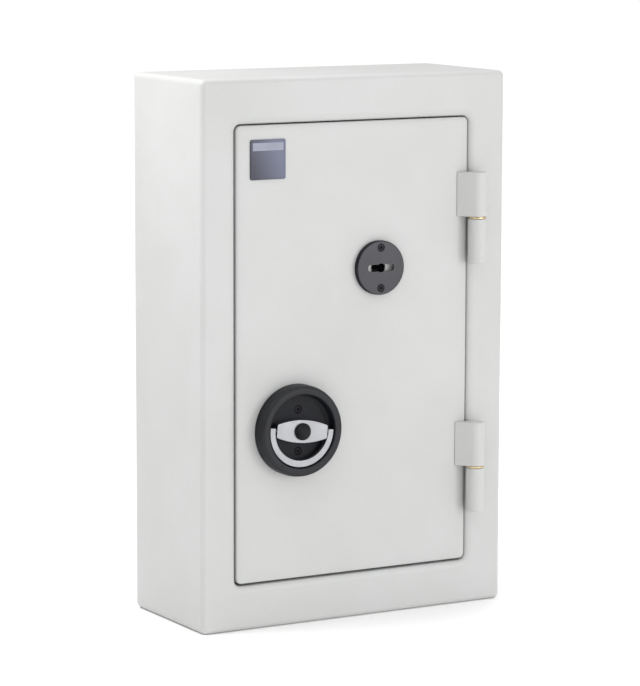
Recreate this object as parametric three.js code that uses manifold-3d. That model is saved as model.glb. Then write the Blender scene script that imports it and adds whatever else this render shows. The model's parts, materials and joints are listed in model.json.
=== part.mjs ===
// Wall safe: a shallow steel cabinet with a flush door on two external lift-off hinges, a turning
// handle with a folding bail in a round dish, boltwork with three round bolts, and a key lock.
// Millimetres, +Z up, X to the right, front towards -Y. Origin: bottom centre of the body.
import * as THREE from "three";
import { mergeVertices } from "three/addons/utils/BufferGeometryUtils.js";
import Module from "manifold-3d";

const wasm = await Module();
wasm.setup();

// ---- driving dimensions ----------------------------------------------------------------------
const GAP = 0.3; // clearance left between pieces that touch or run in each other

const BODY = { width: 350, depth: 145, height: 550, edge: 5, corner: 6, wall: 3, rearEdge: 1.5 };
const FRONT = -BODY.depth / 2;

// opening in the front frame: its edge is rolled in, then turns back as a flange
const OPENING = { left: -137.8, right: 133.3, bottom: 44.8, top: 505.3, corner: 7 };
const ROLL = { width: 8, depth: 5, steps: 4 };
const FLANGE = { thick: 3, depth: 25.5 };

const DOOR = { gap: 2, gapTop: 1.5, gapBottom: 2.5, corner: 5, edge: 3, plate: 6, wall: 3,
  depth: 20, lip: 20 };
const DOOR_BOX = {
  left: OPENING.left + DOOR.gap,
  right: OPENING.right - DOOR.gap,
  bottom: OPENING.bottom + DOOR.gapBottom,
  top: OPENING.top - DOOR.gapTop,
};

const HINGE = {
  x: 137.1, radius: 9.4, pin: 5, knuckle: 45, washer: 2, washerRadius: 9,
  leafLeft: 118, leafEdge: 1.8, roof: 4, bottoms: { lower: 98.3, upper: 355.6 },
};
HINGE.depth = -(HINGE.radius + GAP); // the axis stands in front of the frame

const BACK = { thick: 3, holeRadius: 6.5, holeX: 80, holeZ: [72, 482] };
const UPRIGHT = { x: 110, width: 16, deep: 9, sheet: 1.5, bottom: 60, top: 490 };
const HOOKS = { rails: 4, perRail: 8, pitchX: 28, firstZ: 120, pitchZ: 105, height: 16, sheet: 1.5,
  wire: 2.6, reach: 20, tip: 6 };

const HANDLE = { x: -70, z: 198.8, spindle: 6, screwOffset: 21, turn: 5.3 };
const DISH = { outer: 46.2, recess: 37, rim: 16, floor: 5.5, hole: 7 };
const BUSH = { radius: 10, flange: 13, rear: 20 };
const HUB = { halfLength: 28.8, halfHeight: 11.5, endHalfHeight: 7.2, corner: 2.2, front: -14.8,
  back: -6.3, socket: -12.2, pinHole: 22 };
const CAP = { radius: 8.6, height: 2 };
const BAIL = { outer: 36.3, innerX: 29.9, innerZ: 29.2, top: 2.8, thick: 6.6, axisDepth: -11,
  pin: 2 };

const KEY = { x: 25.2, z: 356.2, hole: 8.25 };
const PLATE_SLOT = { width: 31.5, height: 7, bulge: 4.5 }; // keyhole of the escutcheon
const LOCK_SLOT = { width: 16.5, height: 6, bulge: 3.8 }; // keyhole of the lock itself
const ESCUTCHEON = { radius: 27.4, height: 6.1, edge: 1, screwOffset: 20.5 };
const BADGE = { x: -101.7, z: 470, width: 39.5, height: 39.5, corner: 2, thick: 1 };

const BOLT = { radius: 7, depth: 33.5, zs: [112, 276, 440], tip: -131.5, root: -100 };
const CAM = { radius: 17, front: 22, rear: 29, boreRear: 26, clipRear: 21.7 };
const CRANK = { radius: 9, pin: 4, slotPlay: 0.6 };
CRANK.side = CRANK.radius * Math.SQRT1_2; // offset of the crank pin along X and Z at rest
const THROW = 2 * CRANK.side; // bolt travel for a quarter turn of the handle
const CARRIAGE = { thick: 4, right: -68, bottom: 88, top: 464, lockArm: -22.5 };
const STUD = { x: -91, zs: [140, 412], neck: 4, head: 7 };
const GUIDE = { left: -130, right: -119, halfHeight: 12, rear: 43 };
const DOG = { left: 110, toe: 138, front: 27, rear: 39, halfHeight: 14 };
const COVER = { left: -117, right: 108, bottom: 84, top: 468, rear: 46, sheet: 2, corner: 6,
  tab: 26, screwX: [-90, -4.5, 81], screwInset: 20 };

const HARD_PLATE = { halfWidth: 48, halfHeight: 56, thick: 5 };
const LOCK = { left: -13, right: 67, halfHeight: 50, wall: 2.5, front: 11.6, rear: 34, post: 12 };
const ROTOR = { radius: 14, front: 16, rear: 32 };
const LOCK_BOLT = { left: -12.8, right: 58, halfHeight: 22, front: 18, rear: 30, throw: 9 };

const SCREW = { head: 4, shank: 2, socket: 1.5, cone: 2, reach: 5 };
const PAN_SCREW = { head: 4, shank: 2, height: 2 };

const FINE = 36; // sides of a large round piece
const COARSE = 16; // sides of a small round piece
const SMALL = 10; // sides of a screw and its hole

// ---- materials -------------------------------------------------------------------------------
const material = (color, roughness, metalness) =>
  new THREE.MeshStandardMaterial({ color, roughness, metalness });
const PAINT = material(0xd9dbd8, 0.45, 0.1);
const BLACK_PLASTIC = material(0x1b1b1c, 0.4, 0);
const DARK_PLATE = material(0x55555f, 0.35, 0.3);
const SATIN_SILVER = material(0xd6d7dc, 0.3, 0.9);
const BRASS = material(0xb8913f, 0.3, 1);
const ZINC = material(0xb9bcc0, 0.35, 0.9);
const HARD_STEEL = material(0x6f7276, 0.4, 0.9);
const BADGE_BLUE = material(0x2b3044, 0.35, 0.1);

// ---- geometry helpers ------------------------------------------------------------------------
// Y of a point that lies `depth` behind the front face of the body
const at = (depth) => FRONT + depth;

// corner points of a rounded rectangle, as [x, z] pairs going round once
function roundedOutline({ left, right, bottom, top, corner }, inset = 0, steps = 3) {
  const radius = Math.max(corner - inset, 0.4);
  const cornerCentres = [
    [right - inset - radius, top - inset - radius],
    [left + inset + radius, top - inset - radius],
    [left + inset + radius, bottom + inset + radius],
    [right - inset - radius, bottom + inset + radius],
  ];
  return cornerCentres.flatMap(([cx, cz], quarter) =>
    Array.from({ length: steps + 1 }, (_, i) => {
      const angle = ((quarter + i / steps) * Math.PI) / 2;
      return [cx + radius * Math.cos(angle), cz + radius * Math.sin(angle)];
    }));
}

// closed solid through a row of rings that all have the same number of points
function loft(rings) {
  const count = rings[0].length;
  const index = [];
  for (let k = 0; k + 1 < rings.length; k += 1) {
    for (let i = 0; i < count; i += 1) {
      const a = k * count + i;
      const b = k * count + ((i + 1) % count);
      index.push(a, b, b + count, a, b + count, a + count);
    }
  }
  const last = (rings.length - 1) * count;
  for (let i = 1; i + 1 < count; i += 1) {
    index.push(0, i + 1, i);
    index.push(last, last + i, last + i + 1);
  }
  const geometry = new THREE.BufferGeometry();
  geometry.setAttribute("position", new THREE.Float32BufferAttribute(rings.flat(2), 3));
  geometry.setIndex(index);
  return geometry;
}

// rounded rectangle carried through sections [depth, inset]
const slab = (outline, sections, steps) =>
  loft(sections.map(([depth, inset]) =>
    roundedOutline(outline, inset, steps).map(([x, z]) => [x, at(depth), z])));

// sections [depth, inset] of a rounded front edge
const roundedEdge = (radius, steps = 3) =>
  Array.from({ length: steps + 1 }, (_, i) => {
    const angle = (1 - i / steps) * (Math.PI / 2);
    return [radius * (1 - Math.sin(angle)), radius * (1 - Math.cos(angle))];
  });

// flat plate between two depths, cut to a THREE.Shape drawn in X and Z
function plate(shape, front, rear, curveSegments = 12) {
  const settings = { depth: rear - front, bevelEnabled: false, curveSegments };
  const geometry = new THREE.ExtrudeGeometry(shape, settings);
  return geometry.rotateX(Math.PI / 2).translate(0, at(rear), 0);
}

const box = ([x0, x1], [front, rear], [z0, z1]) =>
  new THREE.BoxGeometry(x1 - x0, rear - front, z1 - z0)
    .translate((x0 + x1) / 2, at((front + rear) / 2), (z0 + z1) / 2);

// piece turned about an axis that runs front to back through (x, z); profile of [radius, depth]
const turned = (profile, x, z, sides = COARSE) =>
  new THREE.LatheGeometry(profile.map(([r, depth]) => new THREE.Vector2(r, at(depth))), sides)
    .translate(x, 0, z);

const rod = (radius, front, rear, x, z, sides = COARSE) =>
  turned([[0, front], [radius, front], [radius, rear], [0, rear]], x, z, sides);

const ring = (inner, outer, front, rear, x, z, sides = COARSE) =>
  turned([[inner, front], [outer, front], [outer, rear], [inner, rear], [inner, front]],
    x, z, sides);

// upright round piece about the hinge axis; profile of [radius, height]
const hingeTurned = (profile) =>
  new THREE.LatheGeometry(profile.map(([r, height]) => new THREE.Vector2(r, height)), COARSE)
    .rotateX(Math.PI / 2)
    .translate(HINGE.x, at(HINGE.depth), 0);

const signedVolume = (positions, index) => {
  const [a, b, c] = [new THREE.Vector3(), new THREE.Vector3(), new THREE.Vector3()];
  let sum = 0;
  for (let i = 0; i < index.length; i += 3) {
    a.fromBufferAttribute(positions, index[i]);
    b.fromBufferAttribute(positions, index[i + 1]);
    c.fromBufferAttribute(positions, index[i + 2]);
    sum += a.dot(b.cross(c));
  }
  return sum / 6;
};

// welded copy of a geometry, without empty triangles and with its faces pointing out
function closed(source) {
  const bare = new THREE.BufferGeometry();
  bare.setAttribute("position", source.getAttribute("position"));
  bare.setIndex(source.getIndex());
  const geometry = mergeVertices(bare, 1e-4);
  const all = geometry.getIndex().array;
  const index = [];
  for (let i = 0; i < all.length; i += 3) {
    const [a, b, c] = [all[i], all[i + 1], all[i + 2]];
    if (a !== b && b !== c && c !== a) index.push(a, b, c);
  }
  if (signedVolume(geometry.getAttribute("position"), index) < 0) index.reverse();
  geometry.setIndex(index);
  return geometry;
}

function toManifold(source) {
  const geometry = closed(source);
  return new wasm.Manifold(new wasm.Mesh({
    numProp: 3,
    vertProperties: new Float32Array(geometry.getAttribute("position").array),
    triVerts: new Uint32Array(geometry.getIndex().array),
  }));
}

function fromManifold(manifold) {
  const mesh = manifold.getMesh();
  const geometry = new THREE.BufferGeometry();
  geometry.setAttribute("position", new THREE.BufferAttribute(mesh.vertProperties, 3));
  geometry.setIndex(new THREE.BufferAttribute(mesh.triVerts, 1));
  return geometry;
}

const joined = (base, ...others) =>
  fromManifold(others.reduce((sum, other) => sum.add(toManifold(other)), toManifold(base)));
const cut = (base, ...tools) =>
  fromManifold(tools.reduce((rest, tool) => rest.subtract(toManifold(tool)), toManifold(base)));

const safe = new THREE.Group();
function add(name, geometry, look) {
  const mesh = new THREE.Mesh(closed(geometry), look);
  mesh.name = name;
  safe.add(mesh);
}

// ---- shared shapes ---------------------------------------------------------------------------
// cutter for a double-bit keyhole: a round middle and a wing to each side
function keyhole({ width, height, bulge }, front, rear) {
  const halfHeight = height / 2;
  const halfWidth = width / 2;
  const meet = Math.asin(halfHeight / bulge);
  const shape = new THREE.Shape();
  shape.moveTo(KEY.x + halfWidth, KEY.z - halfHeight);
  shape.lineTo(KEY.x + halfWidth, KEY.z + halfHeight);
  shape.absarc(KEY.x, KEY.z, bulge, meet, Math.PI - meet, false);
  shape.lineTo(KEY.x - halfWidth, KEY.z + halfHeight);
  shape.lineTo(KEY.x - halfWidth, KEY.z - halfHeight);
  shape.absarc(KEY.x, KEY.z, bulge, Math.PI + meet, 2 * Math.PI - meet, false);
  shape.closePath();
  return plate(shape, front, rear, 6);
}

// countersunk screw with a round socket, its head flush at `front`
const countersunk = (x, z, front) => turned([
  [0, front + 1.6], [SCREW.socket, front + 1.6], [SCREW.socket, front], [SCREW.head, front],
  [SCREW.shank, front + SCREW.cone], [SCREW.shank, SCREW.reach], [0, SCREW.reach],
], x, z, SMALL);

// hole that a countersunk screw sits in
const countersink = (x, z, front) => turned([
  [0, front - 1], [SCREW.head + GAP, front - 1], [SCREW.head + GAP, front + 0.2],
  [SCREW.shank + GAP, front + SCREW.cone + 0.2], [SCREW.shank + GAP, DOOR.plate + 1],
  [0, DOOR.plate + 1],
], x, z, SMALL);

// pan-head screw driven from the rear, its head resting at depth `seat`
const panScrew = (x, z, seat, tip) => turned([
  [0, tip], [PAN_SCREW.shank, tip], [PAN_SCREW.shank, seat], [PAN_SCREW.head, seat],
  [PAN_SCREW.head, seat + PAN_SCREW.height], [0, seat + PAN_SCREW.height],
], x, z, SMALL);

// ---- fixed body ------------------------------------------------------------------------------
function buildShell() {
  const outline = { left: -BODY.width / 2, right: BODY.width / 2, bottom: 0, top: BODY.height,
    corner: BODY.corner };
  const outer = slab(outline, [...roundedEdge(BODY.edge), [BODY.depth - BODY.rearEdge, 0],
    [BODY.depth, BODY.rearEdge]]);
  const inner = slab(outline, [[BODY.wall, BODY.wall], [BODY.depth + 1, BODY.wall]]);
  const flange = slab({ ...OPENING, corner: OPENING.corner + FLANGE.thick },
    [[1, -FLANGE.thick], [FLANGE.depth, -FLANGE.thick]]);
  const roll = Array.from({ length: ROLL.steps + 1 }, (_, i) => {
    const angle = (1 - i / ROLL.steps) * (Math.PI / 2);
    return [ROLL.depth * (1 - Math.sin(angle)), -ROLL.width * (1 - Math.cos(angle))];
  });
  const mouth = slab(OPENING, [[-1, -ROLL.width], ...roll, [FLANGE.depth + 5, 0]]);
  add("body_shell", cut(joined(cut(outer, inner), flange), mouth), PAINT);
}

function buildBackPanel() {
  const margin = BODY.wall + GAP;
  const outline = { left: -BODY.width / 2, right: BODY.width / 2, bottom: 0, top: BODY.height,
    corner: BODY.corner };
  const front = BODY.depth - BACK.thick;
  const holes = BACK.holeZ.flatMap((z) => [-1, 1].map((side) =>
    rod(BACK.holeRadius, front - 1, BODY.depth + 1, side * BACK.holeX, z)));
  add("back_panel", cut(slab(outline, [[front, margin], [BODY.depth, margin]]), ...holes), PAINT);
}

// upright strip behind the lock-side flange, notched where the bolts pass
function buildStrike() {
  const strip = box([OPENING.left - FLANGE.thick, OPENING.left], [FLANGE.depth + GAP, 58],
    [OPENING.bottom + 14, OPENING.top - 14]);
  const notches = BOLT.zs.map((z) =>
    box([OPENING.left - 5, OPENING.left + 5], [FLANGE.depth - 1, 43], [z - 10, z + 10]));
  add("strike_plate", cut(strip, ...notches), PAINT);
}

// outline of a door knuckle seen from above: a leaf that rises to the round barrel
function leafOutline() {
  const [cx, cy] = [HINGE.x, HINGE.depth];
  const toe = [HINGE.leafLeft, -HINGE.leafEdge - GAP];
  const distance = Math.hypot(toe[0] - cx, toe[1] - cy);
  const towardsToe = Math.atan2(toe[1] - cy, toe[0] - cx);
  const touch = towardsToe + Math.acos(HINGE.radius / distance);
  const shape = new THREE.Shape();
  shape.moveTo(HINGE.leafLeft, -GAP);
  shape.lineTo(...toe);
  shape.absarc(cx, cy, HINGE.radius, touch, 2.5 * Math.PI, false);
  shape.closePath();
  return shape;
}

function buildHinge(place, bottom) {
  const washerBottom = bottom + HINGE.knuckle + GAP;
  const doorBottom = washerBottom + HINGE.washer + GAP;
  const doorTop = doorBottom + HINGE.knuckle;
  const bore = HINGE.pin + GAP;

  const foot = box([HINGE.x, HINGE.x + HINGE.radius - 0.5], [HINGE.depth, -GAP],
    [bottom, bottom + HINGE.knuckle]);
  const barrel = hingeTurned([[0, bottom], [HINGE.radius, bottom],
    [HINGE.radius, bottom + HINGE.knuckle], [0, bottom + HINGE.knuckle]]);
  const through = hingeTurned([[0, bottom - 1], [bore, bottom - 1],
    [bore, bottom + HINGE.knuckle + 1], [0, bottom + HINGE.knuckle + 1]]);
  add(`hinge_frame_knuckle_${place}`, cut(joined(barrel, foot), through), PAINT);

  add(`hinge_washer_${place}`, hingeTurned([[bore, washerBottom],
    [HINGE.washerRadius, washerBottom], [HINGE.washerRadius, washerBottom + HINGE.washer],
    [bore, washerBottom + HINGE.washer], [bore, washerBottom]]), BRASS);

  const pinTop = doorTop - HINGE.roof - 2;
  add(`hinge_pin_${place}`, hingeTurned([[0, bottom + 1], [HINGE.pin, bottom + 1],
    [HINGE.pin, pinTop - 2], [HINGE.pin - 2, pinTop], [0, pinTop]]), ZINC);

  const leaf = new THREE.ExtrudeGeometry(leafOutline(),
    { depth: HINGE.knuckle, bevelEnabled: false, curveSegments: 12 })
    .translate(0, FRONT, doorBottom);
  const blindBore = hingeTurned([[0, doorBottom - 1], [bore, doorBottom - 1],
    [bore, doorTop - HINGE.roof], [0, doorTop - HINGE.roof]]);
  add(`hinge_door_knuckle_${place}`, cut(leaf, blindBore), PAINT);
}

// U-shaped uprights on the back panel, open towards it
function buildUprights() {
  const rear = BODY.depth - BACK.thick - GAP;
  const front = rear - UPRIGHT.deep;
  for (const [place, side] of [["left", -1], ["right", 1]]) {
    const centre = side * UPRIGHT.x;
    const half = UPRIGHT.width / 2;
    const heights = [UPRIGHT.bottom, UPRIGHT.top];
    const channel = box([centre - half, centre + half], [front, rear], heights);
    const hollow = box([centre - half + UPRIGHT.sheet, centre + half - UPRIGHT.sheet],
      [front + UPRIGHT.sheet, rear + 1], [UPRIGHT.bottom - 1, UPRIGHT.top + 1]);
    add(`rail_upright_${place}`, cut(channel, hollow), PAINT);
  }
}

function buildHookRail(number) {
  const rear = BODY.depth - BACK.thick - UPRIGHT.deep - 2 * GAP;
  const front = rear - HOOKS.sheet;
  const middle = HOOKS.firstZ + number * HOOKS.pitchZ;
  const halfWire = HOOKS.wire / 2;
  const halfLength = UPRIGHT.x + UPRIGHT.width / 2;
  const hooks = Array.from({ length: HOOKS.perRail }, (_, i) => {
    const x = (i - (HOOKS.perRail - 1) / 2) * HOOKS.pitchX;
    const across = [x - halfWire, x + halfWire];
    return [
      box(across, [front - HOOKS.reach, front + 0.5], [middle - halfWire, middle + halfWire]),
      box(across, [front - HOOKS.reach, front - HOOKS.reach + HOOKS.wire],
        [middle - halfWire, middle + HOOKS.tip]),
    ];
  }).flat();
  const strip = box([-halfLength, halfLength], [front, rear],
    [middle - HOOKS.height / 2, middle + HOOKS.height / 2]);
  add(`hook_rail_${number + 1}`, joined(strip, ...hooks), ZINC);
}

// ---- door ------------------------------------------------------------------------------------
const dishScrewZs = [HANDLE.z + HANDLE.screwOffset, HANDLE.z - HANDLE.screwOffset];
const escutcheonScrewZs = [KEY.z + ESCUTCHEON.screwOffset, KEY.z - ESCUTCHEON.screwOffset];
const coverScrews = [DOOR_BOX.bottom + DOOR.wall + 12.5, DOOR_BOX.top - DOOR.wall - 12.5]
  .flatMap((z) => COVER.screwX.map((x) => [x, z]));

function buildDoorPanel() {
  const outline = { ...DOOR_BOX, corner: DOOR.corner };
  const block = slab(outline, [...roundedEdge(DOOR.edge), [DOOR.depth, 0]]);
  const pocket = slab(outline, [[DOOR.plate, DOOR.wall], [DOOR.depth - DOOR.wall, DOOR.wall]]);
  const rearWindow = slab(outline, [[DOOR.plate + 1, DOOR.wall + DOOR.lip],
    [DOOR.depth + 1, DOOR.wall + DOOR.lip]]);
  const plateHole = (radius, x, z, sides) => rod(radius, -1, DOOR.plate + 1, x, z, sides);
  const lipHoles = coverScrews.map(([x, z]) =>
    rod(PAN_SCREW.shank + GAP, DOOR.plate + 1, DOOR.depth + 1, x, z, SMALL));
  add("door_panel", cut(block, pocket, rearWindow,
    plateHole(BUSH.radius + GAP, HANDLE.x, HANDLE.z, COARSE),
    ...dishScrewZs.map((z) => plateHole(SCREW.shank + GAP, HANDLE.x, z, SMALL)),
    ...escutcheonScrewZs.map((z) => plateHole(SCREW.shank + GAP, KEY.x, z, SMALL)),
    plateHole(KEY.hole, KEY.x, KEY.z, COARSE), ...lipHoles), PAINT);
}

function buildBadge() {
  const outline = {
    left: BADGE.x - BADGE.width / 2, right: BADGE.x + BADGE.width / 2,
    bottom: BADGE.z - BADGE.height / 2, top: BADGE.z + BADGE.height / 2, corner: BADGE.corner,
  };
  add("badge", slab(outline, [[-BADGE.thick - GAP, 0.3], [-BADGE.thick, 0], [-GAP, 0]]),
    BADGE_BLUE);
}

function buildEscutcheon() {
  const face = -ESCUTCHEON.height;
  const disc = turned([[0, face], [ESCUTCHEON.radius - ESCUTCHEON.edge, face],
    [ESCUTCHEON.radius - 0.4, face + 0.5], [ESCUTCHEON.radius, face + ESCUTCHEON.edge],
    [ESCUTCHEON.radius, -GAP], [0, -GAP]], KEY.x, KEY.z, FINE);
  const sinks = escutcheonScrewZs.map((z) => countersink(KEY.x, z, face));
  add("escutcheon", cut(disc, keyhole(PLATE_SLOT, face - 1, 1), ...sinks), DARK_PLATE);
  ["top", "bottom"].forEach((place, i) =>
    add(`escutcheon_screw_${place}`, countersunk(KEY.x, escutcheonScrewZs[i], face + 0.2), ZINC));
}

function buildDish() {
  const { outer, recess, rim, floor, hole } = DISH;
  const cup = turned([
    [hole, -GAP], [outer, -GAP], [outer, -rim + 5], [outer - 0.8, -rim + 1.8],
    [outer - 3, -rim], [recess + 1.6, -rim], [recess + 0.4, -rim + 0.8], [recess, -rim + 2.4],
    [recess - 0.4, -floor], [hole, -floor], [hole, -GAP],
  ], HANDLE.x, HANDLE.z, FINE);
  const sinks = dishScrewZs.map((z) => countersink(HANDLE.x, z, -floor));
  add("handle_dish", cut(cup, ...sinks), BLACK_PLASTIC);
  ["upper", "lower"].forEach((place, i) =>
    add(`dish_screw_${place}`, countersunk(HANDLE.x, dishScrewZs[i], -floor + 0.2), ZINC));
}

function buildSpindleBush() {
  const inner = HANDLE.spindle + GAP;
  const shoulder = DOOR.plate + GAP;
  add("spindle_bush", turned([[inner, 0], [BUSH.radius, 0], [BUSH.radius, shoulder],
    [BUSH.flange, shoulder], [BUSH.flange, BUSH.rear], [inner, BUSH.rear], [inner, 0]],
  HANDLE.x, HANDLE.z), BRASS);
}

// ---- key lock --------------------------------------------------------------------------------
function buildHardPlate() {
  const outline = {
    left: KEY.x - HARD_PLATE.halfWidth, right: KEY.x + HARD_PLATE.halfWidth,
    bottom: KEY.z - HARD_PLATE.halfHeight, top: KEY.z + HARD_PLATE.halfHeight, corner: 4,
  };
  const front = DOOR.plate + GAP;
  const sheet = slab(outline, [[front, 0], [front + HARD_PLATE.thick, 0]]);
  const hole = rod(KEY.hole + 0.5, front - 1, front + HARD_PLATE.thick + 1, KEY.x, KEY.z);
  add("hard_plate", cut(sheet, hole), HARD_STEEL);
}

const postInset = 1 + LOCK.post / 2;
const lockPosts = [
  [LOCK.left + postInset, KEY.z + LOCK.halfHeight - postInset],
  [LOCK.right - postInset, KEY.z - LOCK.halfHeight + postInset],
];
const lockOutline = {
  left: LOCK.left, right: LOCK.right, bottom: KEY.z - LOCK.halfHeight,
  top: KEY.z + LOCK.halfHeight, corner: 3,
};

function buildLockCase() {
  const shell = slab(lockOutline, [[LOCK.front, 0], [LOCK.rear, 0]]);
  const hollow = slab(lockOutline, [[LOCK.front + LOCK.wall, LOCK.wall],
    [LOCK.rear + 1, LOCK.wall]]);
  const half = LOCK.post / 2;
  const posts = lockPosts.map(([x, z]) =>
    box([x - half, x + half], [LOCK.front + 1, LOCK.rear], [z - half, z + half]));
  const holes = lockPosts.map(([x, z]) =>
    rod(PAN_SCREW.shank + GAP, LOCK.front + 6, LOCK.rear + 1, x, z, SMALL));
  const port = box([LOCK.left - 1, LOCK.left + LOCK.wall + 1],
    [LOCK_BOLT.front - GAP, LOCK_BOLT.rear + GAP],
    [KEY.z - LOCK_BOLT.halfHeight - GAP, KEY.z + LOCK_BOLT.halfHeight + GAP]);
  add("lock_case", cut(joined(cut(shell, hollow), ...posts), ...holes, port,
    keyhole(LOCK_SLOT, LOCK.front - 1, LOCK.front + LOCK.wall + 1)), ZINC);

  const capFront = LOCK.rear + GAP;
  const capRear = capFront + 2;
  add("lock_cap", cut(slab(lockOutline, [[capFront, 0], [capRear, 0]]),
    ...lockPosts.map(([x, z]) => rod(PAN_SCREW.shank + GAP, capFront - 1, capRear + 1, x, z, SMALL))),
  ZINC);
  lockPosts.forEach(([x, z], i) =>
    add(`lock_screw_${i + 1}`, panScrew(x, z, capRear + GAP, LOCK.front + 8), HARD_STEEL));
}

function buildRotor() {
  const disc = rod(ROTOR.radius, ROTOR.front, ROTOR.rear, KEY.x, KEY.z, FINE);
  add("lock_rotor", cut(disc, keyhole(LOCK_SLOT, ROTOR.front - 1, ROTOR.rear + 1)), BRASS);
}

function buildLockBolt() {
  const { left, right, halfHeight, front, rear } = LOCK_BOLT;
  const bar = box([left, right], [front, rear], [KEY.z - halfHeight, KEY.z + halfHeight]);
  const clear = ROTOR.radius + 1;
  const window = box([KEY.x - clear - 4, KEY.x + clear + LOCK_BOLT.throw + 1],
    [front - 1, rear + 1], [KEY.z - clear, KEY.z + clear]);
  add("lock_bolt", cut(bar, window), BRASS);
}

// ---- boltwork --------------------------------------------------------------------------------
function buildCarriage() {
  const front = BOLT.depth - CARRIAGE.thick / 2;
  const rear = BOLT.depth + CARRIAGE.thick / 2;
  const pinX = HANDLE.x + CRANK.side;
  const slotHalf = CRANK.pin + CRANK.slotPlay;
  const bar = box([BOLT.root, CARRIAGE.right], [front, rear], [CARRIAGE.bottom, CARRIAGE.top]);
  const pad = box([CARRIAGE.right - 1, pinX + 15], [front, rear], [HANDLE.z - 26, HANDLE.z + 13]);
  const arm = box([CARRIAGE.right - 1, CARRIAGE.lockArm], [front, rear], [KEY.z - 14, KEY.z + 14]);
  const lug = box([CARRIAGE.lockArm - 4, CARRIAGE.lockArm], [LOCK_BOLT.front, rear],
    [KEY.z - 14, KEY.z + 14]);
  const slot = box([pinX - slotHalf, pinX + slotHalf], [front - 1, rear + 1],
    [HANDLE.z - CRANK.radius - slotHalf, HANDLE.z - CRANK.side + slotHalf]);
  const studSlots = STUD.zs.map((z) =>
    box([STUD.x - STUD.neck - 0.6, STUD.x + THROW + STUD.neck + 0.6], [front - 1, rear + 1],
      [z - STUD.neck - GAP, z + STUD.neck + GAP]));
  add("bolt_carriage", cut(joined(bar, pad, arm, lug), slot, ...studSlots), ZINC);
}

// round bolt along X with a chamfered tip
function buildBolt(number, z) {
  const chamfer = 1.5;
  const length = BOLT.root - GAP - BOLT.tip;
  const profile = [[0, 0], [BOLT.radius - chamfer, 0], [BOLT.radius, chamfer],
    [BOLT.radius, length], [0, length]].map(([r, h]) => new THREE.Vector2(r, h));
  add(`bolt_${number}`, new THREE.LatheGeometry(profile, COARSE)
    .rotateZ(-Math.PI / 2)
    .translate(BOLT.tip, at(BOLT.depth), z), SATIN_SILVER);

  const bore = new THREE.CylinderGeometry(BOLT.radius + GAP, BOLT.radius + GAP, 40, COARSE)
    .rotateZ(Math.PI / 2)
    .translate((GUIDE.left + GUIDE.right) / 2, at(BOLT.depth), z);
  const block = box([GUIDE.left, GUIDE.right], [DOOR.depth + GAP, GUIDE.rear],
    [z - GUIDE.halfHeight, z + GUIDE.halfHeight]);
  add(`bolt_guide_${number}`, cut(block, bore), ZINC);
}

// fixed dog on the hinge side: its toe laps behind the flange of the frame
function buildDog(number, z) {
  const heights = [z - DOG.halfHeight, z + DOG.halfHeight];
  const heel = box([DOG.left, DOOR_BOX.right - 1], [DOOR.depth + GAP, DOG.rear], heights);
  const toe = box([DOG.left + 1, DOG.toe], [DOG.front, DOG.rear], heights);
  add(`fixed_dog_${number}`, joined(heel, toe), ZINC);
}

function buildStud(number, z) {
  const carriageRear = BOLT.depth + CARRIAGE.thick / 2;
  const carriageFront = BOLT.depth - CARRIAGE.thick / 2;
  add(`guide_stud_${number}`, turned([
    [0, DOOR.plate + GAP], [STUD.head, DOOR.plate + GAP], [STUD.head, carriageFront - 1],
    [STUD.neck, carriageFront - 1], [STUD.neck, carriageRear + 0.7],
    [STUD.head, carriageRear + 0.7], [STUD.head, carriageRear + 2.7], [0, carriageRear + 2.7],
  ], STUD.x, z), ZINC);
}

function buildCover() {
  const outline = { left: COVER.left, right: COVER.right, bottom: COVER.bottom, top: COVER.top,
    corner: COVER.corner };
  const front = DOOR.depth + GAP;
  const outer = slab(outline, [[front, 0], [COVER.rear - 3, 0], [COVER.rear, 3]]);
  const inner = slab(outline, [[front - 1, COVER.sheet], [COVER.rear - 4, COVER.sheet],
    [COVER.rear - COVER.sheet, 4]]);
  const tabs = [[COVER.bottom - COVER.tab, COVER.bottom + 1],
    [COVER.top - 1, COVER.top + COVER.tab]].map((heights) =>
    box([COVER.left + 12, COVER.right - 12], [front, front + COVER.sheet], heights));
  const boltHoles = BOLT.zs.map((z) =>
    box([COVER.left - 1, COVER.left + COVER.sheet + 1], [front - 1, GUIDE.rear - 1],
      [z - BOLT.radius - 1, z + BOLT.radius + 1]));
  const screwHoles = coverScrews.map(([x, z]) =>
    rod(PAN_SCREW.shank + GAP, front - 1, front + COVER.sheet + 1, x, z, SMALL));
  add("inner_cover", cut(joined(outer, ...tabs), inner, ...boltHoles, ...screwHoles), PAINT);
  coverScrews.forEach(([x, z], i) =>
    add(`cover_screw_${i + 1}`, panScrew(x, z, front + COVER.sheet + GAP, DOOR.plate + 4), ZINC));
}

// ---- handle ----------------------------------------------------------------------------------
// the hub and the bail stand slightly past level, turned about the handle's axis
const settled = (geometry) =>
  geometry.translate(-HANDLE.x, 0, -HANDLE.z)
    .rotateY(THREE.MathUtils.degToRad(HANDLE.turn))
    .translate(HANDLE.x, 0, HANDLE.z);

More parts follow.
